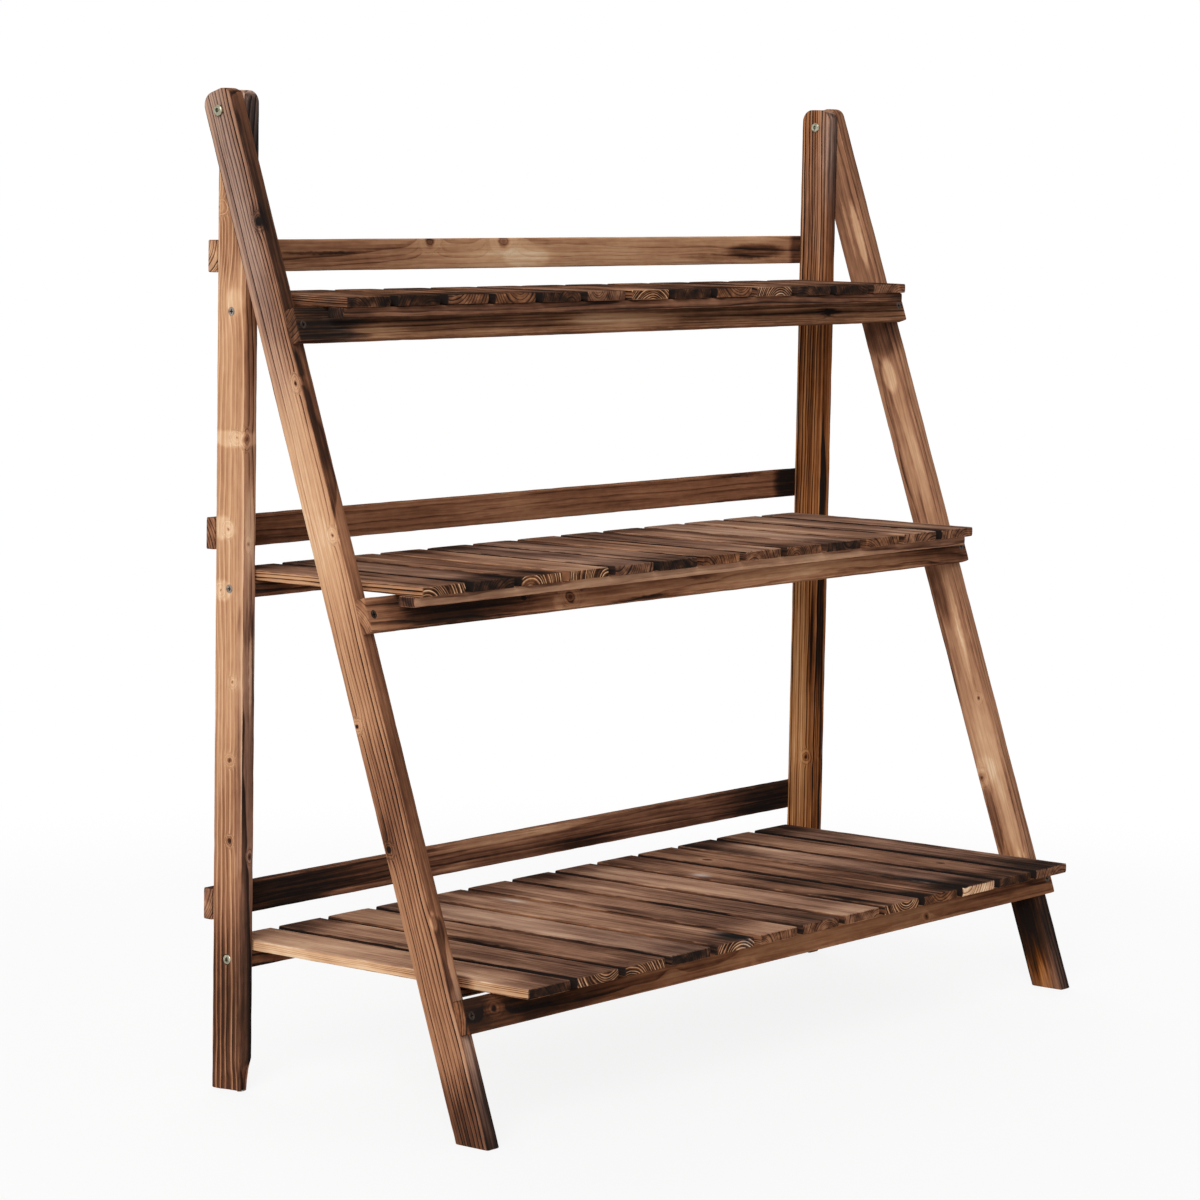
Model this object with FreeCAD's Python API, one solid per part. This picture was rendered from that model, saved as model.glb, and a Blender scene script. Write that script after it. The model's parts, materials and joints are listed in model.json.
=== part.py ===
import FreeCAD, Part
import math
import os

# A folding three-tier plant stand in scorched fir, in millimetres, +Z up, with its front towards -Y.
# The origin is on the floor, at the middle of the space that the stand takes up.

# Slats
slat_count = 13
slat_width = 60.0
slat_gap = 10.0
slat_thickness = 10.0
slat_edge_chamfer = 1.0
slat_rear_reach = 17.0

# Shelves: height of each pivot line above the floor, and length of each shelf's slats
top_pivot_height = 728.0
middle_pivot_height = 472.0
bottom_pivot_height = 124.0
top_slat_length = 142.0
middle_slat_length = 236.0
bottom_slat_length = 365.0

# Battens under the slats
rear_batten_depth = 30.0
rear_batten_height = 16.0
front_batten_depth = 20.0
front_batten_height = 10.0
batten_edge_chamfer = 1.0
batten_before_rail = 8.5
batten_behind_rail = 34.0

# Legs
leg_depth = 36.0
leg_thickness = 17.0
leg_top_radius = 10.0
leg_edge_chamfer = 1.4
rear_leg_height = 930.0
fold_pivot_drop = 19.0
front_leg_lean = 19.1

# Cross rails
rail_thickness = 12.0
back_rail_height = 30.0
front_rail_height = 32.0
back_rail_rise = 35.0
rail_edge_chamfer = 1.2

# Clearances
leg_side_clearance = 0.5
shelf_side_clearance = 2.5
shelf_fold_clearance = 0.5
slat_rest_clearance = 0.3
running_clearance = 0.05
seat_clearance = 0.2

# Countersunk cross-head wood screws, drawn with few sides, their threads as plain shanks
screw_length = 45.0
screw_diameter = 4.0
screw_head_diameter = 8.0
head_sides = 16
shank_sides = 8
screw_head_height = 2.6
screw_sink = 0.3
recess_length = 4.4
recess_width = 1.1
recess_depth = 1.6

# Hex-socket bolts and barrel nuts
bolt_diameter = 6.0
bolt_head_diameter = 10.0
bolt_head_height = 3.2
bolt_head_chamfer = 0.8
socket_across_flats = 4.0
socket_depth = 1.8
shelf_bolt_length = 50.0
bolt_sink = 0.3
nut_barrel_diameter = 8.0
nut_barrel_length = 12.0
nut_flange_thickness = 1.6
nut_web_thickness = 1.5

# One overrun serves all cuts
overrun = 5.0

# Places that follow from the sizes above
shelf_width = slat_count * slat_width + (slat_count - 1) * slat_gap
rear_leg_inner_x = shelf_width / 2 + shelf_side_clearance
rear_leg_outer_x = rear_leg_inner_x + leg_thickness
front_leg_inner_x = rear_leg_outer_x + leg_side_clearance
front_leg_outer_x = front_leg_inner_x + leg_thickness
rear_leg_x = rear_leg_inner_x + leg_thickness / 2
front_leg_x = front_leg_inner_x + leg_thickness / 2
half_leg = leg_depth / 2
fold_pivot_height = rear_leg_height - fold_pivot_drop
lean = math.radians(front_leg_lean)
rail_front_reach = half_leg + rail_thickness
slat_top_rise = half_leg - shelf_fold_clearance
slat_underside_rise = slat_top_rise - slat_thickness

# The rear legs' centre line stands behind the origin, so that the whole stand is centred on it
foot_reach = fold_pivot_height * math.tan(lean) + half_leg / math.cos(lean)
slat_reach = max(top_slat_length, middle_slat_length, bottom_slat_length) - slat_rear_reach
rear_axis_y = (max(foot_reach, slat_reach) - rail_front_reach) / 2

SHELVES = (
    ("top", top_pivot_height, top_slat_length),
    ("middle", middle_pivot_height, middle_slat_length),
    ("bottom", bottom_pivot_height, bottom_slat_length),
)
SCREWED_SHELVES = ("top", "middle")
SIDES = (("left", -1), ("right", 1))

X_AXIS = FreeCAD.Vector(1, 0, 0)
Y_AXIS = FreeCAD.Vector(0, 1, 0)
Z_AXIS = FreeCAD.Vector(0, 0, 1)
ORIGIN = FreeCAD.Vector(0, 0, 0)
FOLD_PIVOT = FreeCAD.Vector(0, rear_axis_y, fold_pivot_height)


def lean_forward(shape):
    """Turn a piece drawn upright on the rear legs into the slope of the front frame."""
    leaning = shape.copy()
    leaning.rotate(FOLD_PIVOT, X_AXIS, -front_leg_lean)
    return leaning


def bar(low, high, along, chamfer):
    """A straight bar between two corners, its four edges along one axis eased."""
    size = high - low
    solid = Part.makeBox(size.x, size.y, size.z, low)
    long_edges = [edge for edge in solid.Edges if abs(edge.tangentAt(edge.FirstParameter).dot(along)) > 0.5]
    return solid.makeChamfer(chamfer, long_edges)


def facing(shape, place, outward):
    """Set a piece drawn on the Z axis, top outwards, at a place with its axis along a direction."""
    turned = shape.copy()
    turned.Placement = FreeCAD.Placement(place, FreeCAD.Rotation(Z_AXIS, outward))
    return turned


def revolved(profile):
    """A solid of revolution about Z from points (radius, height)."""
    points = [FreeCAD.Vector(radius, 0, height) for radius, height in profile]
    return Part.Face(Part.makePolygon(points + points[:1])).revolve(ORIGIN, Z_AXIS, 360)


def polygon(sides, corner_radius, height):
    """A regular polygon about the Z axis, as a closed wire."""
    corners = []
    for index in range(sides):
        angle = 2 * math.pi * index / sides
        corners.append(FreeCAD.Vector(corner_radius * math.cos(angle), corner_radius * math.sin(angle), height))
    return Part.makePolygon(corners + corners[:1])


def prism(sides, corner_radius, base, top):
    """A regular prism on the Z axis, between two heights."""
    return Part.Face(polygon(sides, corner_radius, base)).extrude(Z_AXIS * (top - base))


def hex_socket(floor):
    """The room of a hex key's socket, from its floor up."""
    corner_radius = socket_across_flats / 2 / math.cos(math.pi / 6)
    return prism(6, corner_radius, floor, floor + socket_depth + overrun)


def screw_shank(clearance):
    """A screw's shank below its head, or the pilot hole that it needs."""
    end = -screw_length - clearance
    return prism(shank_sides, screw_diameter / 2 + clearance, end, -screw_head_height)


def screw():
    """A countersunk screw with the top of its head at height zero, and its cross recess."""
    neck = polygon(head_sides, screw_diameter / 2, -screw_head_height)
    rim = polygon(head_sides, screw_head_diameter / 2, 0)
    solid = Part.makeLoft([neck, rim], True, True).fuse(screw_shank(0))
    for length, width in ((recess_length, recess_width), (recess_width, recess_length)):
        corner = FreeCAD.Vector(-length / 2, -width / 2, -recess_depth)
        solid = solid.cut(Part.makeBox(length, width, recess_depth + overrun, corner))
    return solid


def screw_room(clearance):
    """The hole for a screw: its pilot hole, and a countersink that opens to the surface above the head."""
    neck = screw_diameter / 2
    head = screw_head_diameter / 2
    flare = (head - neck) / screw_head_height
    countersink = revolved([
        (0, -screw_head_height),
        (neck + clearance, -screw_head_height),
        (head + clearance + overrun * flare, overrun),
        (0, overrun),
    ])
    return countersink.fuse(screw_shank(clearance))


def socket_bolt(length):
    """A bolt with its head standing on height zero and its shank below."""
    head = bolt_head_diameter / 2
    shank = bolt_diameter / 2
    solid = revolved([
        (0, -length),
        (shank, -length),
        (shank, 0),
        (head, 0),
        (head, bolt_head_height - bolt_head_chamfer),
        (head - bolt_head_chamfer, bolt_head_height),
        (0, bolt_head_height),
    ])
    return solid.cut(hex_socket(bolt_head_height - socket_depth))


def bore(diameter, length):
    """A round bore below height zero in which a shank can turn."""
    return Part.makeCylinder(diameter / 2 + running_clearance, length, ORIGIN, -Z_AXIS)


def barrel_nut():
    """A barrel nut with its flange on height zero, its barrel below and a hex socket on top."""
    barrel = nut_barrel_diameter / 2
    flange = bolt_head_diameter / 2
    solid = revolved([
        (0, -nut_barrel_length),
        (barrel, -nut_barrel_length),
        (barrel, 0),
        (flange, 0),
        (flange, nut_flange_thickness - bolt_head_chamfer),
        (flange - bolt_head_chamfer, nut_flange_thickness),
        (0, nut_flange_thickness),
    ])
    socket_floor = nut_flange_thickness - socket_depth
    solid = solid.cut(hex_socket(socket_floor))
    thread_top = socket_floor - nut_web_thickness
    thread = Part.makeCylinder(
        bolt_diameter / 2 + running_clearance,
        nut_barrel_length + thread_top + overrun,
        FreeCAD.Vector(0, 0, -nut_barrel_length - overrun),
    )
    return solid.cut(thread)


def barrel_room():
    """The hole for a barrel nut, from its flange inwards."""
    radius = nut_barrel_diameter / 2 + running_clearance
    depth = nut_barrel_length + running_clearance
    return Part.makeCylinder(radius, depth, ORIGIN, -Z_AXIS)


def leg_blank(centre_x, foot_height):
    """An upright leg on the rear legs' centre line, its two top corners rounded and its edges eased."""
    front = rear_axis_y - half_leg
    back = rear_axis_y + half_leg
    side = centre_x - leg_thickness / 2
    corner = leg_top_radius * (1 - math.sqrt(0.5))
    shoulder = rear_leg_height - leg_top_radius

    def at(y, z):
        return FreeCAD.Vector(side, y, z)

    outline = Part.Wire([
        Part.makeLine(at(front, foot_height), at(front, shoulder)),
        Part.Arc(
            at(front, shoulder),
            at(front + corner, rear_leg_height - corner),
            at(front + leg_top_radius, rear_leg_height),
        ).toShape(),
        Part.makeLine(at(front + leg_top_radius, rear_leg_height), at(back - leg_top_radius, rear_leg_height)),
        Part.Arc(
            at(back - leg_top_radius, rear_leg_height),
            at(back - corner, rear_leg_height - corner),
            at(back, shoulder),
        ).toShape(),
        Part.makeLine(at(back, shoulder), at(back, foot_height)),
        Part.makeLine(at(back, foot_height), at(front, foot_height)),
    ])
    solid = Part.Face(outline).extrude(X_AXIS * leg_thickness)
    eased = []
    for edge in solid.Edges:
        box = edge.BoundBox
        across = box.XLength > box.YLength + box.ZLength
        at_foot = box.ZMax < foot_height + leg_edge_chamfer
        if not across and not at_foot:
            eased.append(edge)
    return solid.makeChamfer(leg_edge_chamfer, eased)


def rail_top_along_leg(pivot_height):
    """Distance down the front leg, from the fold pivot, to the top of the rail that carries a shelf."""
    crown_height = pivot_height + slat_underside_rise - slat_rest_clearance
    crown_reach = rail_front_reach - rail_edge_chamfer
    drop = fold_pivot_height + crown_reach * math.sin(lean) - crown_height
    return drop / math.cos(lean)


def rail_front_y(pivot_height):
    """Where the front top edge of a front rail stands, front to back."""
    along = rail_top_along_leg(pivot_height)
    return rear_axis_y - rail_front_reach * math.cos(lean) - along * math.sin(lean)


def back_rail_screw_places():
    """Places and directions of the screws that hold the back rails."""
    places = []
    for name, pivot_height, length in SHELVES:
        for side, sign in SIDES:
            height = pivot_height + back_rail_rise + back_rail_height / 2
            depth = rear_axis_y + rail_front_reach - screw_sink
            places.append((FreeCAD.Vector(sign * rear_leg_x, depth, height), Y_AXIS))
    return places


def shelf_screw_places():
    """Places and directions of the screws on which the upper shelves turn."""
    places = []
    for name, pivot_height, length in SHELVES:
        if name in SCREWED_SHELVES:
            for side, sign in SIDES:
                reach = rear_leg_outer_x - screw_sink
                places.append((FreeCAD.Vector(sign * reach, rear_axis_y, pivot_height), X_AXIS * sign))
    return places


def front_rail_screw_places():
    """Places and directions of the front rails' screws, on the front frame drawn upright."""
    places = []
    for name, pivot_height, length in SHELVES:
        for side, sign in SIDES:
            height = fold_pivot_height - rail_top_along_leg(pivot_height) - front_rail_height / 2
            depth = rear_axis_y - rail_front_reach + screw_sink
            places.append((FreeCAD.Vector(sign * front_leg_x, depth, height), -Y_AXIS))
    return places


def shelf_bolt_places():
    """Places and directions of the bolts on which the bottom shelf turns."""
    reach = rear_leg_outer_x - bolt_sink - bolt_head_height
    places = []
    for name, pivot_height, length in SHELVES:
        if name not in SCREWED_SHELVES:
            for side, sign in SIDES:
                places.append((FreeCAD.Vector(sign * reach, rear_axis_y, pivot_height), X_AXIS * sign))
    return places


def fold_bolt_places():
    """Places and directions of the two bolts on which the front frame folds."""
    reach = front_leg_outer_x + seat_clearance
    return [(FreeCAD.Vector(sign * reach, rear_axis_y, fold_pivot_height), X_AXIS * sign) for side, sign in SIDES]


def fold_nut_places():
    """Places and directions of the barrel nuts in the rear legs' inner faces."""
    reach = rear_leg_inner_x
    return [(FreeCAD.Vector(sign * reach, rear_axis_y, fold_pivot_height), X_AXIS * -sign) for side, sign in SIDES]


def fold_bolt_length():
    """From under the fold bolt's head to just short of the barrel nut's web."""
    web = socket_depth - nut_flange_thickness + nut_web_thickness
    return seat_clearance + leg_thickness + leg_side_clearance + leg_thickness - web - seat_clearance


def rooms_cut(solid, room, places):
    """Cut the same hole at several places."""
    for place, outward in places:
        solid = solid.cut(facing(room, place, outward))
    return solid


def group(shape, places):
    """Copies of one fastener, kept as separate solids."""
    return Part.makeCompound([facing(shape, place, outward) for place, outward in places])


def on_side(places, sign):
    """Only the places on one side of the stand."""
    return [(place, outward) for place, outward in places if place.x * sign > 0]


def rear_leg(sign):
    """An upright leg with its fold bore, its nut's seat and the holes of its screws and bolt."""
    solid = leg_blank(sign * rear_leg_x, 0)
    wood_screws = on_side(back_rail_screw_places() + shelf_screw_places(), sign)
    solid = rooms_cut(solid, screw_room(running_clearance), wood_screws)
    solid = rooms_cut(solid, barrel_room(), on_side(fold_nut_places(), sign))
    fold_bore = bore(bolt_diameter, fold_bolt_length())
    solid = rooms_cut(solid, fold_bore, on_side(fold_bolt_places(), sign))
    head_room = Part.makeCylinder(bolt_head_diameter / 2 + seat_clearance, bolt_head_height + overrun)
    shelf_bore = bore(bolt_diameter, shelf_bolt_length).fuse(head_room)
    return rooms_cut(solid, shelf_bore, on_side(shelf_bolt_places(), sign))


def back_rail(pivot_height):
    """A rail across the rear faces of the rear legs, above its shelf."""
    low = FreeCAD.Vector(-rear_leg_outer_x, rear_axis_y + half_leg, pivot_height + back_rail_rise)
    high = FreeCAD.Vector(rear_leg_outer_x, rear_axis_y + rail_front_reach, low.z + back_rail_height)
    solid = bar(low, high, X_AXIS, rail_edge_chamfer)
    own = [spot for spot in back_rail_screw_places() if low.z < spot[0].z < high.z]
    return rooms_cut(solid, screw_room(running_clearance), own)


def front_leg(sign):
    """A sloping leg, cut level at the floor, with its fold bore and the holes of its rail screws."""
    upright = leg_blank(sign * front_leg_x, -fold_pivot_height)
    upright = rooms_cut(upright, screw_room(running_clearance), on_side(front_rail_screw_places(), sign))
    upright = rooms_cut(upright, bore(bolt_diameter, fold_bolt_length()), on_side(fold_bolt_places(), sign))
    sloping = lean_forward(upright)
    box = sloping.BoundBox
    corner = FreeCAD.Vector(box.XMin - overrun, box.YMin - overrun, box.ZMin - overrun)
    below_floor = Part.makeBox(
        box.XLength + 2 * overrun,
        box.YLength + 2 * overrun,
        -corner.z,
        corner,
    )
    return sloping.cut(below_floor)


def front_rail(pivot_height):
    """A rail across the front faces of the front legs, its front top edge under the slats."""
    top = fold_pivot_height - rail_top_along_leg(pivot_height)
    low = FreeCAD.Vector(-front_leg_outer_x, rear_axis_y - rail_front_reach, top - front_rail_height)
    high = FreeCAD.Vector(front_leg_outer_x, rear_axis_y - half_leg, top)
    solid = bar(low, high, X_AXIS, rail_edge_chamfer)
    own = [spot for spot in front_rail_screw_places() if low.z < spot[0].z < high.z]
    return lean_forward(rooms_cut(solid, screw_room(running_clearance), own))


def slat(index, pivot_height, length):
    """One slat of a shelf, front to back, counted from the left."""
    left = -shelf_width / 2 + index * (slat_width + slat_gap)
    rear = rear_axis_y + slat_rear_reach
    top = pivot_height + slat_top_rise
    low = FreeCAD.Vector(left, rear - length, top - slat_thickness)
    high = FreeCAD.Vector(left + slat_width, rear, top)
    return bar(low, high, Y_AXIS, slat_edge_chamfer)


def rear_batten(pivot_height):
    """The batten that turns on the shelf's pivots, under the rear ends of the slats."""
    top = pivot_height + slat_underside_rise
    low = FreeCAD.Vector(-shelf_width / 2, rear_axis_y - rear_batten_depth / 2, top - rear_batten_height)
    high = FreeCAD.Vector(shelf_width / 2, rear_axis_y + rear_batten_depth / 2, top)
    solid = bar(low, high, X_AXIS, batten_edge_chamfer)
    screws = [spot for spot in shelf_screw_places() if low.z < spot[0].z < high.z]
    bolts = [spot for spot in shelf_bolt_places() if low.z < spot[0].z < high.z]
    solid = rooms_cut(solid, bore(screw_diameter, screw_length + seat_clearance), screws)
    return rooms_cut(solid, bore(bolt_diameter, shelf_bolt_length + seat_clearance), bolts)


def front_batten(name, pivot_height):
    """The flat batten under the slats: before the front rail on upper shelves, behind it on the bottom one."""
    rail_y = rail_front_y(pivot_height)
    if name in SCREWED_SHELVES:
        front = rail_y - batten_before_rail - front_batten_depth
    else:
        front = rail_y + batten_behind_rail
    top = pivot_height + slat_underside_rise
    low = FreeCAD.Vector(-shelf_width / 2, front, top - front_batten_height)
    high = FreeCAD.Vector(shelf_width / 2, front + front_batten_depth, top)
    return bar(low, high, X_AXIS, batten_edge_chamfer)


def stand():
    """Every piece of the stand, by the name of its node."""
    pieces = {}
    for side, sign in SIDES:
        pieces["rear_leg_" + side] = rear_leg(sign)
        pieces["front_leg_" + side] = front_leg(sign)
    for name, pivot_height, length in SHELVES:
        pieces["back_rail_" + name] = back_rail(pivot_height)
        pieces["front_rail_" + name] = front_rail(pivot_height)
        pieces[name + "_rear_batten"] = rear_batten(pivot_height)
        pieces[name + "_front_batten"] = front_batten(name, pivot_height)
        for index in range(slat_count):
            pieces["%s_slat_%02d" % (name, index + 1)] = slat(index, pivot_height, length)
    pieces["rear_frame_screws"] = group(screw(), back_rail_screw_places() + shelf_screw_places())
    pieces["front_rail_screws"] = lean_forward(group(screw(), front_rail_screw_places()))
    pieces["shelf_pivot_bolts"] = group(socket_bolt(shelf_bolt_length), shelf_bolt_places())
    pieces["fold_bolts"] = group(socket_bolt(fold_bolt_length()), fold_bolt_places())
    pieces["fold_nuts"] = group(barrel_nut(), fold_nut_places())
    return pieces


os.makedirs("parts", exist_ok=True)
for node, shape in stand().items():
    shape.exportStep("parts/" + node + ".step")
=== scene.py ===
import json
import math
import random
from collections import namedtuple

import bpy
from mathutils import Matrix, Vector, noise


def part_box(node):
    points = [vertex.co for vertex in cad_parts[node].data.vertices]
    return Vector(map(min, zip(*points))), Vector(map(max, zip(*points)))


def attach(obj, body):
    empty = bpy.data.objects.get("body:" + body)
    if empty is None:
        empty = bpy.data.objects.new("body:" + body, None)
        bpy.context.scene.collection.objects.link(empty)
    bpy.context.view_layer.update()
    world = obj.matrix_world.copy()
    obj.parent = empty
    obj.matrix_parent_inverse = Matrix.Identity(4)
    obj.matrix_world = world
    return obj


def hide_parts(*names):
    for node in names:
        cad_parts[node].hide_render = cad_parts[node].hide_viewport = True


# A folding plant stand in scorched fir. Boards are set out in millimetres, in their own space: along
# the grain from the board's start, then across its width and through its thickness from its middle.
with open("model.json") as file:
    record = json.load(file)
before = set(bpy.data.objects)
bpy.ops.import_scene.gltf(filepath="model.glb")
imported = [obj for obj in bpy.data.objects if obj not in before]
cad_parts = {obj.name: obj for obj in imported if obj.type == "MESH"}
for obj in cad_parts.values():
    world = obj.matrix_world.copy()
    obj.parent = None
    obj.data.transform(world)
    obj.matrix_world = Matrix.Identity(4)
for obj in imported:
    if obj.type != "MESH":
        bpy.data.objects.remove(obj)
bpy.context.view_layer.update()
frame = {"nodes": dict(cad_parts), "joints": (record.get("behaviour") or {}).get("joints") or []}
MM = 0.001

# Camera: place in metres, angles in degrees, lens and sensor in millimetres
CAMERA_PLACE = Vector((-3.20663, -2.42248, 0.87263))
CAMERA_YAW = -51.906
CAMERA_PITCH = 6.169
CAMERA_ROLL = 0.997
CAMERA_LENS = 122.29
CAMERA_SENSOR = 36.0

# Light: directions towards the lamps, strengths as shares of full white, softness in degrees
KEY_DIRECTION = Vector((-0.80, -0.42, 0.50))
KEY_SHARE = 0.72
KEY_SOFTNESS = 35.0
BACK_DIRECTION = Vector((0.60, 0.75, 0.55))
BACK_SHARE = 0.38
BACK_SOFTNESS = 50.0
AMBIENT_SHARE = 0.42
WHITE = (1, 1, 1, 1)

# Floor, in metres: how much of the shadow shows, and the distances between which that fades out
FLOOR_RADIUS = 30.0
FLOOR_COLOUR = (0.80, 0.80, 0.80, 1)
SHADOW_SHARE = 0.14
SHADOW_REACH = (0.9, 1.6)

# The frame's own lean and sizes, in millimetres
LEAN = math.radians(19.1)
LEG_DEPTH = 36.0
LEG_TOP_RADIUS = 12.0
LEG_TOP_RISE = 19.0
FRONT_RAIL_HEIGHT = 32.0
RAIL_THICKNESS = 12.0
SLAT_COUNT = 13
TIERS = ("top", "middle", "bottom")
SIDES = {"left": -1, "right": 1}

# Fasteners, in millimetres
SCREW_HEAD_RADIUS = 4.05
SCREW_RADIUS = 2.05
SCREW_SINK = 0.3
SCREW_HEAD_HEIGHT = 2.6
SCREW_REACH = 46.0
BOLT_HEAD_RADIUS = 5.2
BOLT_RADIUS = 3.05
BOLT_HEAD_DEPTH = 3.5
BOLT_REACH = 51.0
FOLD_BORE = 36.0
NUT_RADIUS = 4.05
NUT_REACH = 12.1
CUT_OVERRUN = 2.0
BRAD_RADIUS = 1.6
BRAD_RISE = 0.3
BRAD_DEPTH = 2.0
ROUND_STEPS = 24

# Board meshes, in millimetres
STATION_STEP = 10.0
CORNER_STEPS = 3
TOP_STEPS = 8
WIDE_SPLITS = 6
NARROW_SPLITS = 2
ARRIS_RADIUS = 1.5
END_BEVEL = 0.7
FACE_WAVE = 0.25
FACE_WAVE_LENGTH = 55.0
ARRIS_WAVE = 0.55
ARRIS_WAVE_LENGTH = 16.0
ARRIS_SEED_STEP = 9
WAVE_SEEDS = 500
WAVE_SHIFT = (1.0, 0.7, 1.3)
CHIP_CURVE = 0.6
SHARP_ANGLE = math.radians(38)

# Wood noises: their lengths along, across and through a board, and how far two of them shake a place,
# in millimetres. The years' noise is counted in years.
WANDER_LENGTHS = (520, 80, 80)
WAVES_LENGTHS = (75, 20, 20)
YEARS_LENGTHS = (3, 1, 1)
FIBRE_LENGTHS = (60, 1.8, 1.8)
MOTTLE_LENGTHS = (14, 5, 5)
STREAK_LENGTHS = (420, 3.2, 3.2)
PATCH_LENGTHS = (100, 24, 24)
RUB_LENGTHS = (26, 5, 5)
BLOTCH_LENGTHS = (9, 13, 9)
FEATHER_LENGTHS = (70, 3, 3)
FEATHER = Vector((90.0, 8.0, 8.0))
ROUGH_LENGTHS = (9, 5, 5)
ROUGHEN = Vector((5.0, 3.4, 3.4))
NOISE_SEEDS = 900
NOISE_ROUGHNESS = 0.55
SWING_GAIN = 4.0
PLAIN_DETAIL = 2.0
FINE_DETAIL = 3.0
COARSE_DETAIL = 1.0

# Knots: the char of their core and heart, with the limits between which each of them sets in
KNOT_CHAR = 0.26
KNOT_CORE = (0.12, 0.62)
HEART_CHAR = 0.16
KNOT_HEART = (0.70, 0.95)
KNOT_STRETCH = 1.2  # length of a core for its width
KNOT_PUSH = 0.4  # how far rings swerve round a knot for its width
KNOT_RINGS = 3.0  # rings of the knot itself
KNOT_TURN = (0.30, 0.50)  # limits between which those take over

# Rings and char
YEARS_DRIFT = 0.7  # how uneven the years are
RING_LEAST = 0.3  # strength of the faintest year
RING_SPREAD = 1.4  # how much more the strongest year has
RING_MEAN = 0.3  # taken off so that rings darken and lighten
RING_CHARS = (0.15, 0.65)  # char between which rings gain contrast
RING_SHARES = (0.5, 1.5)  # their contrast at those two
FIBRE_CHAR = 0.08
MOTTLE_CHAR = 0.04
RUBBED = (0.42, 0.62)  # noise between which an arris gets rubbed
RUB_REACH = (0.3, 1.8)  # distances from the arris between which that ends
END_START = 0.3  # share of an end's reach that has its full char
GAP_SHADE_FACE = (0.3, 0.8)  # how squarely a face looks sideways to take the painted shade of a gap
SQUARE_FACE = (0.6, 0.9)  # how squarely it looks to be a narrow face or a sawn end
MARK_MIDDLE = 0.42  # height of a mark's slope at its outline
CRISP_EDGE = 0.65  # a mark with a crisper edge than this isn't feathered

# Wood and metal surfaces, lengths in millimetres
WOOD_ROUGHNESS = (0.80, 0.66)
FIBRE_RELIEF = 0.25
WOOD_BUMP = 0.45
WOOD_BUMP_DEPTH = 0.25
CLOUD_LENGTH = 3.0
CLOUD_SEED = (3.1, 7.7, 1.9)
CLOUD_DETAIL = 4.0
CLOUD_COLOURS = (0.30, 0.65)
CLOUD_GLOSS = (0.3, 0.7)
GLOSS_SPREAD = 0.15
SCRATCH_LENGTH = 0.5
SCRATCH_SEED = (9.4, 2.2, 5.8)
SCRATCH_BUMP = 0.15
SCRATCH_DEPTH = 0.1
# Painted shade in the metal's hollows: how far ambient occlusion looks, its samples, and the occlusion
# between which the colour darkens
HOLLOW_SHADE_REACH = 3.0
HOLLOW_SHADE_SAMPLES = 8
HOLLOW_SHADE_LIMITS = (0.25, 0.8)

X_AXIS = Vector((1, 0, 0))
Y_AXIS = Vector((0, 1, 0))
Z_AXIS = Vector((0, 0, 1))
LEAN_UP = Vector((0, math.sin(LEAN), math.cos(LEAN)))
LEAN_BACK = Vector((0, math.cos(LEAN), -math.sin(LEAN)))

JOINTS = {joint["name"]: Vector(joint["pos_m"]) / MM for joint in frame["joints"]}
FOLD_PIVOT = JOINTS["front_frame_fold"]

Board = namedtuple("Board", "name body slot start along across through length width thickness")
Knot = namedtuple("Knot", "along across through length width core pale")
Scorch = namedtuple("Scorch", "along across through length width strength edge", defaults=(1.0,))
Chip = namedtuple("Chip", "along across through radius depth")
# A metal: its name, light and dark plating, roughness, and how much painted shade darkens its hollows
Coat = namedtuple("Coat", "name light dark roughness grime")

# How a board is finished. Char runs from 0, raw wood, to 1, black. Lengths are in millimetres.
FINISH = {
    "level": 0.5,           # the board's usual char
    "saturation": 1.0,
    "hue": 0.5,             # above a half is yellower, below it redder
    "spacing": 3.0,         # width of a year's growth
    "pith": (4.0, -40.0),   # the tree's heart, across and through
    "rings": 0.15,          # char of the years' dark wood on the wide faces
    "edge_rings": 0.20,     # the same on the narrow faces
    "wander": 3.0,          # how far the grain strays
    "waves": 0.7,           # how wavy it is over short lengths
    "streaks": 0.08,
    "patch": 0.10,
    "feather": 1.0,         # how ragged scorched places are
    "ends": (0.1, 0.1),     # more char at the start and the end
    "end_reach": 60.0,
    "side": (0.0, 0.0),     # more char on the faces that look across and through
    "edges": 0.0,           # painted shade on both narrow faces, for the shade that falls in a gap between boards
    "wear": 0.15,           # char rubbed off the arrises
    "cap": 0.56,            # char of the sawn ends
    "cap_rings": 0.25,
    "cap_blotch": 0.16,     # unevenness of the char there
    "knots": (),
    "scorches": (),
    "dull": 0.0,            # painted sheen: greying of the face that looks through, as a grazing reflection greys it
    "ashes": (),            # greyed places, or warmer ones where the strength is below 0
}
Finish = namedtuple("Finish", FINISH, defaults=FINISH.values())


# Boards


def boxed_board(name, body, slot, along, across):
    """A board that fills its node's box, with its axes along the box's."""
    low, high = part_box(name)
    through = along.cross(across)
    size = (high - low) / MM
    length, width, thickness = [abs(size.dot(axis)) for axis in (along, across, through)]
    start = (low + high) / 2 / MM - along * length / 2
    return Board(name, body, slot, start, along, across, through, length, width, thickness)


def front_rail_board(name):
    """A rail of the leaning front frame."""
    low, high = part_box(name)
    length = (high.x - low.x) / MM
    start = (low + high) / 2 / MM - X_AXIS * length / 2
    through = X_AXIS.cross(LEAN_UP)
    return Board(
        name, "front_frame", "rail_wood", start, X_AXIS, LEAN_UP, through,
        length, FRONT_RAIL_HEIGHT, RAIL_THICKNESS,
    )


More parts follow.
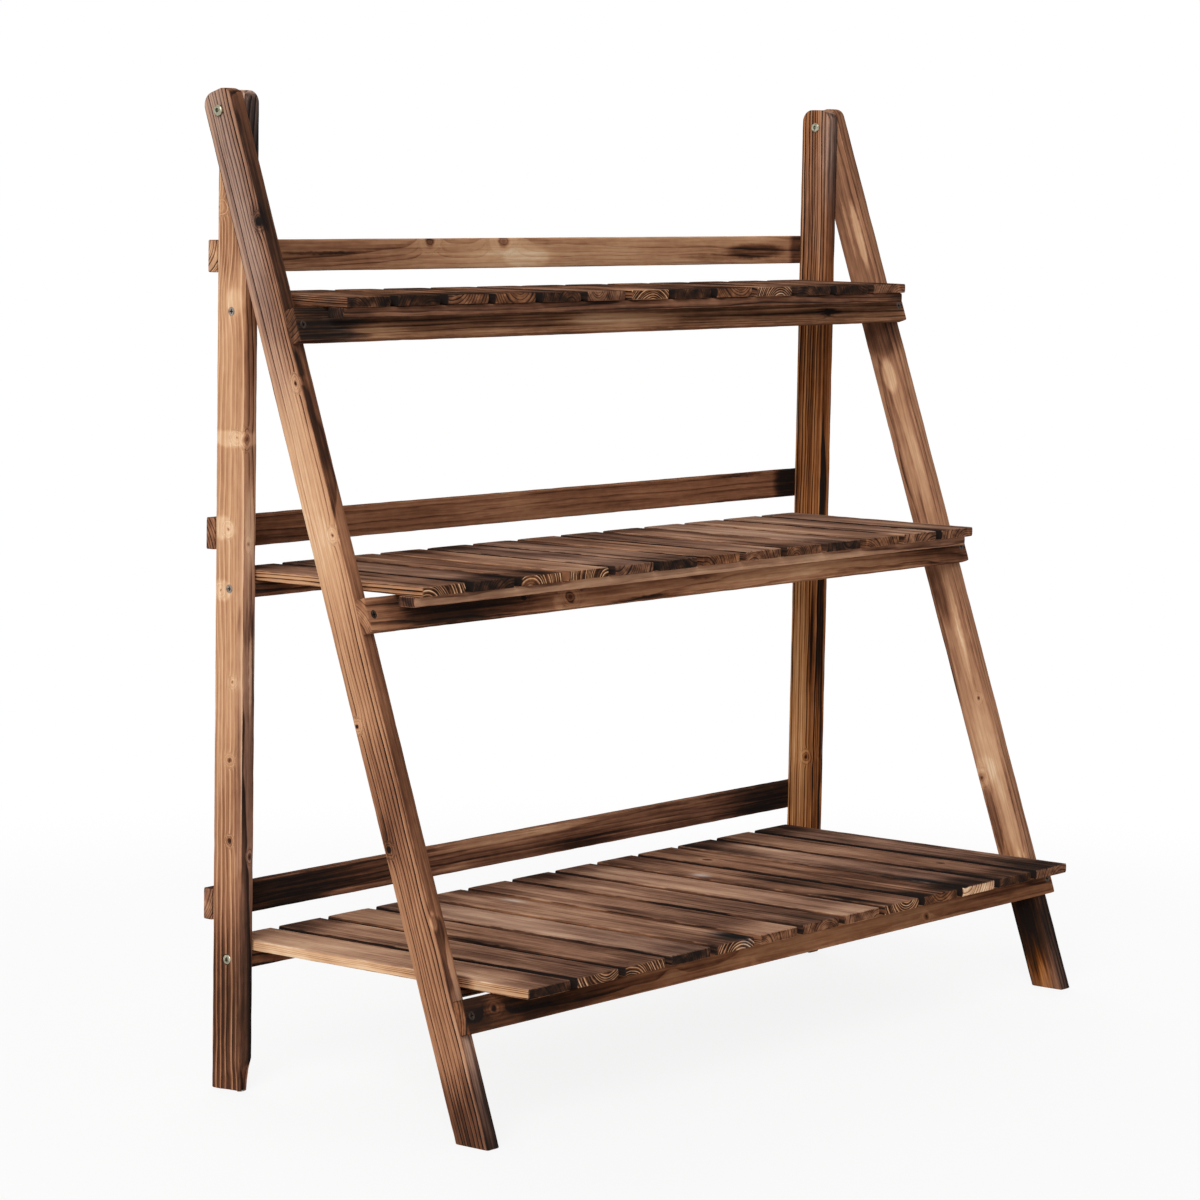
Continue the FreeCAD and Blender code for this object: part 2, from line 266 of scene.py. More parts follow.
def front_leg_board(name):
    """A leg of the leaning front frame, from the floor up."""
    low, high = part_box(name)
    slope_length = FOLD_PIVOT.z / math.cos(LEAN)
    start = FOLD_PIVOT - LEAN_UP * slope_length
    start.x = (low.x + high.x) / 2 / MM
    thickness = (high.x - low.x) / MM
    length = slope_length + LEG_TOP_RISE
    through = LEAN_UP.cross(LEAN_BACK)
    return Board(
        name, "front_frame", "leg_wood", start, LEAN_UP, LEAN_BACK, through, length, LEG_DEPTH, thickness
    )


def all_boards():
    """Every stick of wood in the stand."""
    boards = []
    for side in SIDES:
        boards.append(boxed_board("rear_leg_" + side, "rear_frame", "leg_wood", Z_AXIS, Y_AXIS))
        boards.append(front_leg_board("front_leg_" + side))
    for tier in TIERS:
        shelf = tier + "_shelf"
        boards.append(boxed_board("back_rail_" + tier, "rear_frame", "rail_wood", X_AXIS, Z_AXIS))
        boards.append(front_rail_board("front_rail_" + tier))
        for place in ("rear", "front"):
            boards.append(boxed_board("%s_%s_batten" % (tier, place), shelf, "shelf_wood", X_AXIS, Y_AXIS))
        for number in range(1, SLAT_COUNT + 1):
            boards.append(boxed_board("%s_slat_%02d" % (tier, number), shelf, "shelf_wood", -Y_AXIS, X_AXIS))
    return boards


def spread(first, last, count):
    """Evenly spaced values strictly between two ends."""
    return [first + (last - first) * step / (count + 1) for step in range(1, count + 1)]


def section(half_width, half_thickness):
    """Points round a board's section as (across, through, outward across, outward through, arris)."""
    points = []
    flat_width = half_width - ARRIS_RADIUS
    flat_thickness = half_thickness - ARRIS_RADIUS
    for quarter, (to_right, to_top) in enumerate(((1, 1), (-1, 1), (-1, -1), (1, -1))):
        for step in range(CORNER_STEPS + 1):
            angle = math.pi / 2 * (quarter + step / CORNER_STEPS)
            outward = (math.cos(angle), math.sin(angle))
            across = to_right * flat_width + ARRIS_RADIUS * outward[0]
            through = to_top * flat_thickness + ARRIS_RADIUS * outward[1]
            points.append((across, through, outward[0], outward[1], 1.0))
        if quarter % 2 == 0:
            for across in spread(to_right * flat_width, -to_right * flat_width, WIDE_SPLITS):
                points.append((across, to_top * half_thickness, 0.0, to_top, 0.0))
        else:
            for through in spread(to_top * flat_thickness, -to_top * flat_thickness, NARROW_SPLITS):
                points.append((to_right * half_width, through, to_right, 0.0, 0.0))
    return points


def stations(board, round_top):
    """Distances along a board, each with how much narrower and thinner the board is there."""
    rows = [(0.0, END_BEVEL, END_BEVEL)]
    body_end = board.length - (LEG_TOP_RADIUS if round_top else END_BEVEL)
    count = max(2, round((body_end - END_BEVEL) / STATION_STEP))
    rows += [(END_BEVEL + (body_end - END_BEVEL) * step / count, 0.0, 0.0) for step in range(count + 1)]
    if not round_top:
        rows.append((board.length, END_BEVEL, END_BEVEL))
        return rows
    for step in range(1, TOP_STEPS + 1):
        angle = math.pi / 2 * step / TOP_STEPS
        drawn_in = LEG_TOP_RADIUS * (1 - math.cos(angle))
        thinner = END_BEVEL if step == TOP_STEPS else 0.0
        rows.append((body_end + LEG_TOP_RADIUS * math.sin(angle), drawn_in, thinner))
    return rows


def wave(place, length, seed):
    """A smooth hollow between 0 and 1 that changes over a given length."""
    shift = Vector([seed * share for share in WAVE_SHIFT])
    return 0.5 + 0.5 * noise.noise(Vector(place) / length + shift)


def board_axes(board):
    """The matrix that turns a board's own directions into the stand's."""
    return Matrix((board.along, board.across, board.through)).transposed()


def board_mesh(board, round_top, level_foot, chips):
    """The board's mesh: eased arrises, slightly uneven faces, chipped corners."""
    seed = random.Random(board.name).uniform(0, WAVE_SEEDS)
    to_frame = board_axes(board)
    vertices = []
    rows = stations(board, round_top)
    for along, narrower, thinner in rows:
        ring = section(board.width / 2 - narrower, board.thickness / 2 - thinner)
        for across, through, out_across, out_through, arris in ring:
            place = (along, across, through)
            hollow = FACE_WAVE * wave(place, FACE_WAVE_LENGTH, seed)
            hollow += arris * ARRIS_WAVE * wave(place, ARRIS_WAVE_LENGTH, seed + ARRIS_SEED_STEP) ** 2
            for chip in chips:
                gone = 1 - (Vector(place) - Vector(chip[:3])).length / chip.radius
                hollow += chip.depth * max(0.0, gone) ** CHIP_CURVE
            slope = across * math.tan(LEAN) * max(0.0, 1 - along / LEG_DEPTH) if level_foot else 0.0
            spot = Vector((along + slope, across - hollow * out_across, through - hollow * out_through))
            vertices.append((board.start + to_frame @ spot) * MM)
    count = len(vertices) // len(rows)
    faces = [tuple(reversed(range(count)))]
    for row in range(len(rows) - 1):
        for index in range(count):
            after = (index + 1) % count
            low, high = row * count, (row + 1) * count
            faces.append((low + index, low + after, high + after, high + index))
    faces.append(tuple(range(len(vertices) - count, len(vertices))))
    mesh = bpy.data.meshes.new(board.name + "_wood")
    mesh.from_pydata(vertices, [], faces)
    return mesh


# Fastener holes


def screw_hole(place, outward):
    """Room for a countersunk screw: a place on the surface, a direction, and (radius, height) points."""
    neck = -SCREW_SINK - SCREW_HEAD_HEIGHT
    flare = (SCREW_HEAD_RADIUS - SCREW_RADIUS) / SCREW_HEAD_HEIGHT
    mouth = SCREW_RADIUS + flare * (CUT_OVERRUN - neck)
    return place, outward, [(mouth, CUT_OVERRUN), (SCREW_RADIUS, neck), (SCREW_RADIUS, -SCREW_REACH)]


def bolt_hole(place, outward):
    """Room for a bolt with its head sunk."""
    profile = [
        (BOLT_HEAD_RADIUS, CUT_OVERRUN),
        (BOLT_HEAD_RADIUS, -BOLT_HEAD_DEPTH),
        (BOLT_RADIUS, -BOLT_HEAD_DEPTH),
        (BOLT_RADIUS, -BOLT_REACH),
    ]
    return place, outward, profile


def plain_bore(place, outward, radius, reach):
    """A straight bore."""
    return place, outward, [(radius, CUT_OVERRUN), (radius, -reach)]


def holes_by_board(boards):
    """The holes in each board, by its name."""
    by_name = {board.name: board for board in boards}
    holes = {board.name: [] for board in boards}
    for side, sign in SIDES.items():
        rear, front = by_name["rear_leg_" + side], by_name["front_leg_" + side]
        outward = X_AXIS * sign
        rear_outer = rear.start.x + sign * rear.thickness / 2
        front_outer = front.start.x + sign * front.thickness / 2
        rear_inner = rear.start.x - sign * rear.thickness / 2
        fold = plain_bore(Vector((front_outer, FOLD_PIVOT.y, FOLD_PIVOT.z)), outward, BOLT_RADIUS, FOLD_BORE)
        nut = plain_bore(Vector((rear_inner, FOLD_PIVOT.y, FOLD_PIVOT.z)), -outward, NUT_RADIUS, NUT_REACH)
        holes[rear.name].append(nut)
        holes[front.name].append(fold)
        for tier in TIERS:
            pivot = JOINTS[tier + "_shelf_lift"].copy()
            pivot.x = rear_outer
            hole = bolt_hole(pivot, outward) if tier == "bottom" else screw_hole(pivot, outward)
            holes[rear.name].append(hole)
            holes[tier + "_rear_batten"].append(hole)
            for kind, leg, sense in (("back_rail_", rear, -1), ("front_rail_", front, 1)):
                rail = by_name[kind + tier]
                facing = rail.through * sense
                place = rail.start + facing * rail.thickness / 2
                place.x = leg.start.x
                hole = screw_hole(place, facing)
                holes[rail.name].append(hole)
                holes[leg.name].append(hole)
    return holes


def turned_mesh(name, turnings):
    """One mesh of round shapes, each a place, a direction and (radius, height) points."""
    vertices, faces = [], []
    for place, outward, profile in turnings:
        turn = Z_AXIS.rotation_difference(outward).to_matrix()
        first = len(vertices)
        for radius, height in profile:
            for step in range(ROUND_STEPS):
                angle = 2 * math.pi * step / ROUND_STEPS
                spot = Vector((radius * math.cos(angle), radius * math.sin(angle), height))
                vertices.append((place + turn @ spot) * MM)
        for row in range(len(profile) - 1):
            for step in range(ROUND_STEPS):
                after = (step + 1) % ROUND_STEPS
                high, low = first + row * ROUND_STEPS, first + (row + 1) * ROUND_STEPS
                faces.append((high + step, low + step, low + after, high + after))
        last = first + (len(profile) - 1) * ROUND_STEPS
        faces.append(tuple(first + step for step in range(ROUND_STEPS)))
        faces.append(tuple(last + step for step in reversed(range(ROUND_STEPS))))
    mesh = bpy.data.meshes.new(name)
    mesh.from_pydata(vertices, [], faces)
    return mesh


def linked(name, data):
    """A new object in the scene."""
    piece = bpy.data.objects.new(name, data)
    bpy.context.scene.collection.objects.link(piece)
    return piece


def cut_holes(piece, holes):
    """Cut the holes into a piece's mesh."""
    cutter = linked("hole_cutter", turned_mesh("hole_room", holes))
    cut = piece.modifiers.new("holes", "BOOLEAN")
    cut.operation = "DIFFERENCE"
    cut.solver = "EXACT"
    cut.object = cutter
    solid = piece.evaluated_get(bpy.context.evaluated_depsgraph_get())
    whole = piece.data
    piece.data = bpy.data.meshes.new_from_object(solid)
    piece.modifiers.clear()
    bpy.data.meshes.remove(whole)
    bpy.data.objects.remove(cutter)


# Materials


def srgb(red, green, blue):
    """A colour written in 0 to 255 as a screen shows it, as the linear colour that nodes take."""
    parts = []
    for value in (red, green, blue):
        share = value / 255
        parts.append(share / 12.92 if share <= 0.04045 else ((share + 0.055) / 1.055) ** 2.4)
    return (*parts, 1.0)


CHAR_COLOURS = (
    (0.00, srgb(234, 203, 168)),
    (0.18, srgb(209, 164, 126)),
    (0.36, srgb(180, 132, 98)),
    (0.52, srgb(146, 100, 73)),
    (0.68, srgb(104, 67, 48)),
    (0.84, srgb(62, 41, 31)),
    (1.00, srgb(34, 28, 26)),
)
RING_PROFILE = tuple(
    (position, (dark, dark, dark, 1.0))
    for position, dark in ((0.00, 0.0), (0.55, 0.12), (0.84, 0.88), (0.93, 1.0), (1.00, 0.0))
)


class Graph:
    """Short calls for building the nodes of a material or a world."""

    def __init__(self, owner):
        owner.use_nodes = True
        self.tree = owner.node_tree
        self.tree.nodes.clear()

    def node(self, kind, feeds=None, **settings):
        """A new node, fed by values or by other nodes' outputs."""
        made = self.tree.nodes.new(kind)
        for name, value in settings.items():
            setattr(made, name, value)
        for key, value in (feeds or {}).items():
            if isinstance(value, bpy.types.NodeSocket):
                self.tree.links.new(value, made.inputs[key])
            else:
                made.inputs[key].default_value = value
        return made

    def math(self, operation, *values):
        """The result of a sum on numbers."""
        return self.node("ShaderNodeMath", dict(enumerate(values)), operation=operation).outputs[0]

    def vector(self, operation, *values):
        """The result of a sum on vectors."""
        made = self.node("ShaderNodeVectorMath", dict(enumerate(values)), operation=operation)
        return made.outputs["Value"] if operation in ("DOT_PRODUCT", "LENGTH") else made.outputs["Vector"]

    def total(self, values):
        """All the values added up."""
        result = values[0]
        for value in values[1:]:
            result = self.math("ADD", result, value)
        return result

    def smooth(self, value, low, high, at_low=0.0, at_high=1.0):
        """A smooth step from one result to another between two limits."""
        feeds = {"Value": value, "From Min": low, "From Max": high, "To Min": at_low, "To Max": at_high}
        return self.node("ShaderNodeMapRange", feeds, interpolation_type="SMOOTHSTEP").outputs[0]

    def ramp(self, value, stops):
        """The colour that a value has among (position, colour) stops."""
        made = self.node("ShaderNodeValToRGB", {0: value})
        elements = made.color_ramp.elements
        while len(elements) < len(stops):
            elements.new(1.0)
        for element, (position, colour) in zip(elements, stops):
            element.position = position
            element.color = colour
        return made.outputs["Color"]

    def noise(self, place, lengths, seed, detail=PLAIN_DETAIL):
        """A noise node whose features have the given lengths in millimetres."""
        shrink = tuple(1 / length for length in lengths)
        scaled = self.vector("MULTIPLY_ADD", place, shrink, seed)
        feeds = {"Vector": scaled, "Scale": 1.0, "Detail": detail, "Roughness": NOISE_ROUGHNESS}
        return self.node("ShaderNodeTexNoise", feeds)

    def swing(self, place, lengths, seed, detail):
        """Such noise, mostly between -1 and 1."""
        made = self.noise(place, lengths, seed, detail)
        return self.math("MULTIPLY_ADD", made.outputs[0], SWING_GAIN, -SWING_GAIN / 2)

    def hill(self, place, centre, sizes):
        """1 at a place, falling away smoothly over the given half sizes."""
        offset = self.vector("SUBTRACT", place, centre)
        scaled = self.vector("MULTIPLY", offset, tuple(1 / size for size in sizes))
        square = self.vector("DOT_PRODUCT", scaled, scaled)
        return self.math("EXPONENT", self.math("MULTIPLY", square, -1.0))

    def mark(self, place, mark):
        """A scorched or greyed place: its strength in the middle, fading softly or within a crisp edge."""
        hill = self.hill(place, mark[:3], (mark.length, mark.width, mark.width))
        low = MARK_MIDDLE * (1 - mark.edge)
        high = MARK_MIDDLE + (1 - MARK_MIDDLE) * mark.edge
        return self.smooth(hill, low, high, 0.0, mark.strength)

    def jittered(self, place, lengths, reach, seed):
        """A place shaken by noise of the given lengths, over the given reach."""
        shake = self.noise(place, lengths, seed, FINE_DETAIL).outputs["Color"]
        return self.vector("MULTIPLY_ADD", shake, reach, self.vector("SUBTRACT", place, reach / 2))

    def finish(self, shader, kind="ShaderNodeOutputMaterial"):
        """Send a shader to the output."""
        self.node(kind, {"Surface": shader.outputs[0]})


def seeds_of(name):
    """An endless run of seeded offsets for a board's noises."""
    draw = random.Random("grain of " + name)
    while True:
        yield tuple(draw.uniform(0, NOISE_SEEDS) for axis in range(3))


def board_space(graph, board):
    """Millimetres along, across and through a board, from the object's own coordinates."""
    feeds = {
        "Vector": graph.node("ShaderNodeTexCoord").outputs["Object"],
        "Location": board.start * MM,
        "Rotation": board_axes(board).to_euler("XYZ"),
        "Scale": (MM, MM, MM),
    }
    return graph.node("ShaderNodeMapping", feeds, vector_type="TEXTURE").outputs[0]


def wood_rings(graph, place, finish, halos, seeds):
    """(how far into a year's dark wood a spot is, how strong that year's ring is)."""
    from_pith = graph.vector("MULTIPLY_ADD", place, (0, 1, 1), (0, -finish.pith[0], -finish.pith[1]))
    wandering = graph.swing(place, WANDER_LENGTHS, next(seeds), COARSE_DETAIL)
    waving = graph.swing(place, WAVES_LENGTHS, next(seeds), COARSE_DETAIL)
    radius = [
        graph.vector("LENGTH", from_pith),
        graph.math("MULTIPLY", wandering, finish.wander),
        graph.math("MULTIPLY", waving, finish.waves),
    ]
    for knot, halo in zip(finish.knots, halos):
        radius.append(graph.math("MULTIPLY", halo, knot.width * KNOT_PUSH))
    years = graph.math("DIVIDE", graph.total(radius), finish.spacing)
    for knot, halo in zip(finish.knots, halos):
        if knot.core:
            to_knot = graph.math("SUBTRACT", graph.math("MULTIPLY", halo, KNOT_RINGS), years)
            years = graph.math("MULTIPLY_ADD", to_knot, graph.smooth(halo, *KNOT_TURN), years)
    year_place = graph.node("ShaderNodeCombineXYZ", {"X": years}).outputs[0]
    uneven = graph.swing(year_place, YEARS_LENGTHS, next(seeds), 0.0)
    years = graph.math("MULTIPLY_ADD", uneven, YEARS_DRIFT, years)
    into_year = graph.ramp(graph.math("FRACT", years), RING_PROFILE)
    year_number = graph.math("FLOOR", years)
    chance = graph.node("ShaderNodeTexWhiteNoise", {"W": year_number}, noise_dimensions="1D")
    return into_year, graph.math("MULTIPLY_ADD", chance.outputs["Value"], RING_SPREAD, RING_LEAST)


def knot_char(graph, rough, finish, halos):
    """The knots' char: paler round about, dark in the core and darkest in the heart."""
    parts = []
    for knot, halo in zip(finish.knots, halos):
        parts.append(graph.math("MULTIPLY", halo, -knot.pale))
        if knot.core:
            core = graph.hill(rough, knot[:3], (knot.core * KNOT_STRETCH, knot.core, knot.core))
            parts.append(graph.smooth(core, *KNOT_CORE, 0.0, KNOT_CHAR))
            parts.append(graph.smooth(core, *KNOT_HEART, 0.0, HEART_CHAR))
    return parts


def end_char(graph, along, board, finish):
    """More char towards the two ends of a board."""
    from_end = graph.math("SUBTRACT", board.length, along)
    reach = (END_START * finish.end_reach, finish.end_reach)
    return graph.math(
        "ADD",
        graph.smooth(along, *reach, finish.ends[0], 0.0),
        graph.smooth(from_end, *reach, finish.ends[1], 0.0),
    )


def edge_wear(graph, place, board, finish, seed):
    """Less char where the arrises are rubbed."""
    spot = graph.node("ShaderNodeSeparateXYZ", {0: place})
    from_side = graph.math("SUBTRACT", board.width / 2, graph.math("ABSOLUTE", spot.outputs[1]))
    from_face = graph.math("SUBTRACT", board.thickness / 2, graph.math("ABSOLUTE", spot.outputs[2]))
    to_arris = graph.math("MAXIMUM", from_side, from_face)
    rubbed = graph.smooth(graph.noise(place, RUB_LENGTHS, seed).outputs[0], *RUBBED)
    worn = graph.math("MULTIPLY", graph.smooth(to_arris, *RUB_REACH, 1.0, 0.0), rubbed)
    return graph.math("MULTIPLY", worn, -finish.wear)


def wood_saturation(graph, feathered, normal, board, finish):
    """The board's saturation, less where ashes grey it and where the painted sheen greys its top."""
    greys = [graph.mark(feathered, mark) for mark in finish.ashes]
    # Painted sheen: the face that looks through is greyed, as a grazing reflection would grey it
    if finish.dull:
        facing = graph.vector("DOT_PRODUCT", normal, board.through)
        greys.append(graph.smooth(facing, 0.0, 1.0, 0.0, finish.dull))
    if not greys:
        return finish.saturation
    return graph.math("SUBTRACT", finish.saturation, graph.total(greys))


def wood(board, finish):
    """Scorched fir: growth rings, knots, fibres and char, set out in the board's own space."""
    material = bpy.data.materials.new("wood_" + board.name)
    graph = Graph(material)
    seeds = seeds_of(board.name)
    place = board_space(graph, board)
    normal = graph.node("ShaderNodeTexCoord").outputs["Normal"]
    feathered = graph.jittered(place, FEATHER_LENGTHS, FEATHER * finish.feather, next(seeds))
    rough = graph.jittered(place, ROUGH_LENGTHS, ROUGHEN, next(seeds))
    halos = [graph.hill(rough, knot[:3], (knot.length, knot.width, knot.width)) for knot in finish.knots]
    into_year, strength = wood_rings(graph, place, finish, halos, seeds)
    ring = graph.math("MULTIPLY_ADD", into_year, strength, -RING_MEAN)
    fibre = graph.swing(place, FIBRE_LENGTHS, next(seeds), FINE_DETAIL)
    mottle = graph.swing(place, MOTTLE_LENGTHS, next(seeds), FINE_DETAIL)
    streak = graph.swing(place, STREAK_LENGTHS, next(seeds), FINE_DETAIL)
    patch = graph.swing(feathered, PATCH_LENGTHS, next(seeds), FINE_DETAIL)

    edge_on = graph.math("ABSOLUTE", graph.vector("DOT_PRODUCT", normal, board.across))
    side = board.across * finish.side[0] + board.through * finish.side[1]
    along = graph.node("ShaderNodeSeparateXYZ", {0: feathered}).outputs[0]
    parts = [
        graph.math("MULTIPLY_ADD", fibre, FIBRE_CHAR, finish.level),
        graph.math("MULTIPLY", mottle, MOTTLE_CHAR),
        graph.math("MULTIPLY", streak, finish.streaks),
        graph.math("MULTIPLY", patch, finish.patch),
        graph.vector("DOT_PRODUCT", normal, side),
        # Painted shade: more char on the narrow faces, for the shade in the gaps between slats
        graph.smooth(edge_on, *GAP_SHADE_FACE, 0.0, finish.edges),
        end_char(graph, along, board, finish),
        edge_wear(graph, place, board, finish, next(seeds)),
    ]
    for scorch in finish.scorches:
        parts.append(graph.mark(feathered if scorch.edge > CRISP_EDGE else rough, scorch))
    plain_char = graph.total(parts + knot_char(graph, rough, finish, halos))
    ring_char = graph.smooth(edge_on, *SQUARE_FACE, finish.rings, finish.edge_rings)
    ring_char = graph.math("MULTIPLY", ring_char, graph.smooth(plain_char, *RING_CHARS, *RING_SHARES))
    face_char = graph.math("MULTIPLY_ADD", ring, ring_char, plain_char)

    blotch = graph.swing(place, BLOTCH_LENGTHS, next(seeds), FINE_DETAIL)
    cap_char = graph.math(
        "ADD",
        graph.math("MULTIPLY_ADD", ring, finish.cap_rings, finish.cap),
        graph.math("MULTIPLY", blotch, finish.cap_blotch),
    )
    end_on = graph.math("ABSOLUTE", graph.vector("DOT_PRODUCT", normal, board.along))
    on_cap = graph.smooth(end_on, *SQUARE_FACE)
    char = graph.math("MULTIPLY_ADD", graph.math("SUBTRACT", cap_char, face_char), on_cap, face_char)

    colour_feeds = {
        "Hue": finish.hue,
        "Saturation": wood_saturation(graph, feathered, normal, board, finish),
        "Color": graph.ramp(char, CHAR_COLOURS),
    }
    bump_feeds = {
        "Strength": WOOD_BUMP,
        "Distance": WOOD_BUMP_DEPTH * MM,
        "Height": graph.math("MULTIPLY_ADD", fibre, FIBRE_RELIEF, into_year),
    }
    shader_feeds = {
        "Base Color": graph.node("ShaderNodeHueSaturation", colour_feeds).outputs[0],
        "Roughness": graph.smooth(char, 0.0, 1.0, *WOOD_ROUGHNESS),
        "Specular IOR Level": 0.0,
        "Normal": graph.node("ShaderNodeBump", bump_feeds).outputs[0],
    }
    graph.finish(graph.node("ShaderNodeBsdfPrincipled", shader_feeds))
    return material


def metal(coat):
    """Plated steel: uneven plating, faint handling marks, and painted shade in the hollows of the heads."""
    material = bpy.data.materials.new(coat.name)
    graph = Graph(material)
    place = graph.node("ShaderNodeTexCoord").outputs["Object"]
    in_mm = graph.vector("MULTIPLY", place, (1 / MM, 1 / MM, 1 / MM))
    cloud = graph.noise(in_mm, (CLOUD_LENGTH,) * 3, CLOUD_SEED, CLOUD_DETAIL).outputs[0]
    scratch = graph.noise(in_mm, (SCRATCH_LENGTH,) * 3, SCRATCH_SEED).outputs[0]
    # Painted shade: the plating's colour darkens where ambient occlusion finds a hollow
    hollow_feeds = {"Distance": HOLLOW_SHADE_REACH * MM}
    hollow = graph.node("ShaderNodeAmbientOcclusion", hollow_feeds, samples=HOLLOW_SHADE_SAMPLES).outputs["AO"]
    plating = graph.ramp(cloud, tuple(zip(CLOUD_COLOURS, (coat.dark, coat.light))))
    shade = graph.smooth(hollow, *HOLLOW_SHADE_LIMITS, 1.0 - coat.grime, 1.0)
    colour = graph.node("ShaderNodeVectorMath", {0: plating, "Scale": shade}, operation="SCALE")
    bump_feeds = {"Strength": SCRATCH_BUMP, "Distance": SCRATCH_DEPTH * MM, "Height": scratch}
    shader_feeds = {
        "Base Color": colour.outputs["Vector"],
        "Metallic": 1.0,
        "Roughness": graph.smooth(cloud, *CLOUD_GLOSS, coat.roughness, coat.roughness + GLOSS_SPREAD),
        "Normal": graph.node("ShaderNodeBump", bump_feeds).outputs[0],
    }
    graph.finish(graph.node("ShaderNodeBsdfPrincipled", shader_feeds))
    return material


# Finishes

# The faces that marks lie on, in millimetres from a board's middle
LEG_FACE = 8.5
LEG_FRONT = -LEG_DEPTH / 2
RAIL_FACE = RAIL_THICKNESS / 2
SLAT_FACE = 5.0

# Marks come in rows: the place along the board, the place across it (or through it, on a leg's front),
# length and width, then a knot's core and paleness, or a scorch's strength and how soft its edge is.


def marks(kind, face, *rows):
    """Knots or scorches on a wide face."""
    return tuple(kind(along, across, face, *rest) for along, across, *rest in rows)


def front_marks(kind, *rows):
    """Knots or scorches on a leg's front."""
    return tuple(kind(along, LEG_FRONT, through, *rest) for along, through, *rest in rows)


FINISHES = {}
FINISHES["rear_leg_left"] = Finish(
    level=0.29, spacing=4.4, pith=(44, 26), rings=-0.23, edge_rings=0.18, wander=9, waves=0.9,
    streaks=0.06, patch=0.05, ends=(0.38, 0.04), end_reach=230, side=(-0.2, 0), wear=0.1, cap=0.45,
    knots=marks(Knot, LEG_FACE,
        (823, 17, 9, 14, 1.5, 0.12), (742, 2, 26, 14, 0, 0.05), (612, -8, 8, 9, 1, 0.04),
        (527, 2, 9, 8, 1.4, 0.04), (470, 11, 8, 7, 1.2, 0.04), (385, -5, 6, 7, 1.2, 0.14),
        (312, -2, 7, 8, 2.2, 0.1), (236, -3, 7, 6, 2.4, 0),
    ) + front_marks(Knot,
        (611, 5, 12, 6, 4, 0), (514, 2, 10, 5, 2, 0.12), (222, -3, 8, 5, 2.5, 0.1),
    ),
    scorches=marks(Scorch, LEG_FACE,
        (611, 0, 8, 40, -0.16, 0.35), (528, 9, 12, 17, -0.16, 0.35), (470, 9, 11, 13, -0.16, 0.35),
        (800, 3, 55, 13, 0.13, 0.4), (737, -4, 14, 12, -0.12, 0.5), (200, 0, 150, 30, 0.16),
    ) + front_marks(Scorch,
        (890, 0, 70, 20, 0.36), (700, 0, 50, 16, 0.12), (530, 0, 45, 7, -0.24, 0.6),
        (440, 0, 20, 14, 0.2), (395, -2, 45, 2.2, -0.28, 0.6), (330, 0, 90, 12, 0.16),
        (60, 0, 110, 12, -0.06),
    ),
    ashes=front_marks(Scorch, (890, 0, 90, 16, 0.4), (300, 0, 320, 10, 0.15)),
)
FINISHES["front_leg_left"] = Finish(
    level=0.47, spacing=4, pith=(90, 4), rings=0.32, edge_rings=0.24, waves=1.1, patch=0.06,
    ends=(0.34, 0), end_reach=90, side=(-0.26, 0), wear=0.12, cap=0.5,
    knots=marks(Knot, LEG_FACE,
        (854, -14, 10, 8, 3.6, 0), (702, -11, 10, 6, 1, 0.12), (560, -11, 9, 7, 1.2, 0.14),
        (389, 14, 9, 7, 1.4, 0.18), (274, 12, 9, 7, 2.4, 0),
    ) + front_marks(Knot,
        (162, -4, 16, 5, 0, 0.18),
    ),
    scorches=marks(Scorch, LEG_FACE,
        (880, 0, 140, 30, 0.14), (765, -6, 45, 16, 0.1), (854, -14, 16, 7, 0.25),
        (590, 0, 130, 34, -0.24), (320, 0, 62, 26, 0.12, 0.7), (278, 12, 22, 8, 0.22),
        (190, 0, 150, 30, 0.1),
    ) + front_marks(Scorch,
        (740, 0, 240, 14, 0.12), (50, 0, 130, 8, -0.34), (202, 6, 10, 4, -0.25, 0.5),
    ),
    ashes=marks(Scorch, LEG_FACE, (900, 4, 200, 20, 0.3)) + front_marks(Scorch, (60, 0, 90, 8, 0.25)),
)
FINISHES["rear_leg_right"] = Finish(
    level=0.65, saturation=1.14, spacing=3.6, pith=(-80, 12), rings=0.46, edge_rings=0.18,
    waves=1, streaks=0.26, patch=0.08, ends=(0.05, 0), end_reach=90, side=(-0.05, 0), wear=0.08,
    cap=0.5,
    knots=marks(Knot, LEG_FACE, (219, -6, 9, 8, 3.4, 0.08)) + front_marks(Knot, (224, 1, 6, 5, 0, 0.22)),
    scorches=marks(Scorch, LEG_FACE,
        (290, 7, 190, 14, -0.32), (355, -10, 60, 4, 0.4), (300, -15, 200, 7, 0.1),
        (620, -8, 110, 12, 0.1), (830, 0, 110, 30, 0.05),
    ) + front_marks(Scorch,
        (900, 0, 60, 12, 0.04),
    ),
    ashes=front_marks(Scorch, (900, 0, 80, 14, 0.4)) + marks(Scorch, LEG_FACE, (830, 0, 110, 30, 0.14)),
)
